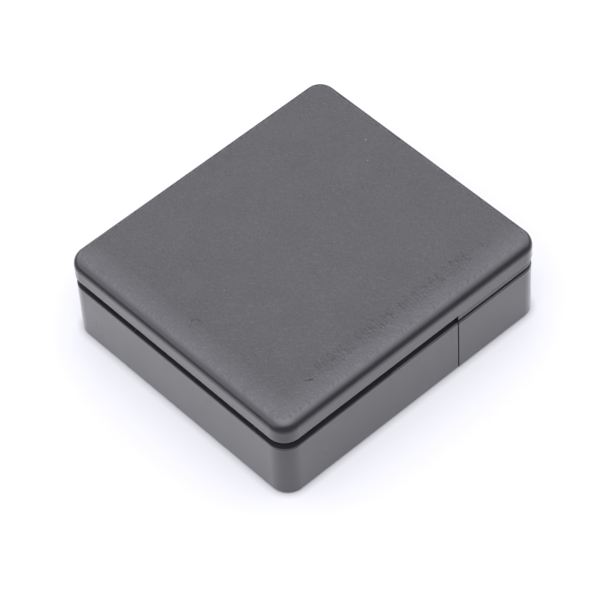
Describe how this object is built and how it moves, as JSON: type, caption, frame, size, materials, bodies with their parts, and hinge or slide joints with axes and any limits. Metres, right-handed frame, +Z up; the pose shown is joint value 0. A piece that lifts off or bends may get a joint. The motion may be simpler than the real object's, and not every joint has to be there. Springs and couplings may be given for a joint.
{
  "type": "demagnetizer",
  "caption": "Flat battery-powered watch demagnetizer: square two-shell case with a coil under its top, a side push button and a slide-off battery cover.",
  "frame": {"origin": "centre of the bounding box at the underside, where the case rests", "axes": "+Z up through the top face, +X along the longer side towards the push button and away from the battery cover, -Y the front edge with the raised marks"},
  "size_m": [0.08, 0.0728, 0.025],
  "materials": {
    "black_textured_plastic": "fine leather grain",
    "black_satin_plastic": "satin",
    "red_button_plastic": "satin",
    "white_nylon": "matte",
    "clear_lens": "clear",
    "green_board": "solder mask",
    "black_component": "moulded epoxy",
    "yellow_film": "coated",
    "capacitor_sleeve": "shrink sleeve",
    "ferrite": "sintered",
    "copper_wire": "enamelled",
    "steel_plate": "rolled",
    "cell_jacket": "printed sleeve",
    "nickel_contact": "nickel plated",
    "red_wire": "insulation",
    "black_wire": "insulation",
    "zinc_screw": "zinc plated"
  },
  "bodies": {
    "case": {"top_shell": "black_textured_plastic", "base_shell": "black_satin_plastic", "switch_housing": "black_component", "indicator_lens": "clear_lens", "indicator_lamp": "clear_lens", "circuit_board": "green_board", "control_chip": "black_component", "small_components": "black_component", "power_transistor": "black_component", "pulse_capacitor": "yellow_film", "reservoir_capacitors": "capacitor_sleeve", "transformer_core": "ferrite", "transformer_bobbin": "black_component", "transformer_winding": "copper_wire", "shield_plate": "steel_plate", "coil_former": "white_nylon", "coil_winding": "copper_wire", "pole_piece": "ferrite", "coil_leads": "copper_wire", "cell_1": "cell_jacket", "cell_2": "cell_jacket", "cell_3": "cell_jacket", "cell_4": "cell_jacket", "cell_springs": "nickel_contact", "link_plates": "nickel_contact", "positive_terminal": "nickel_contact", "negative_terminal": "nickel_contact", "positive_lead": "red_wire", "negative_lead": "black_wire", "case_screws": "zinc_screw", "board_screws": "zinc_screw", "coil_screws": "zinc_screw"},
    "battery_cover": {"battery_cover": "black_satin_plastic"},
    "button": {"push_button": "red_button_plastic", "switch_plunger": "white_nylon"}
  },
  "joints": [
    {"name": "cover_slide", "type": "slide", "parent": "case", "child": "battery_cover", "axis": [-1, 0, 0], "range_m": [0, 0.048]},
    {"name": "button_press", "type": "slide", "parent": "case", "child": "button", "axis": [-1, 0, 0], "range_m": [0, 0.0005], "stiffness_N_per_m": 800}
  ]
}
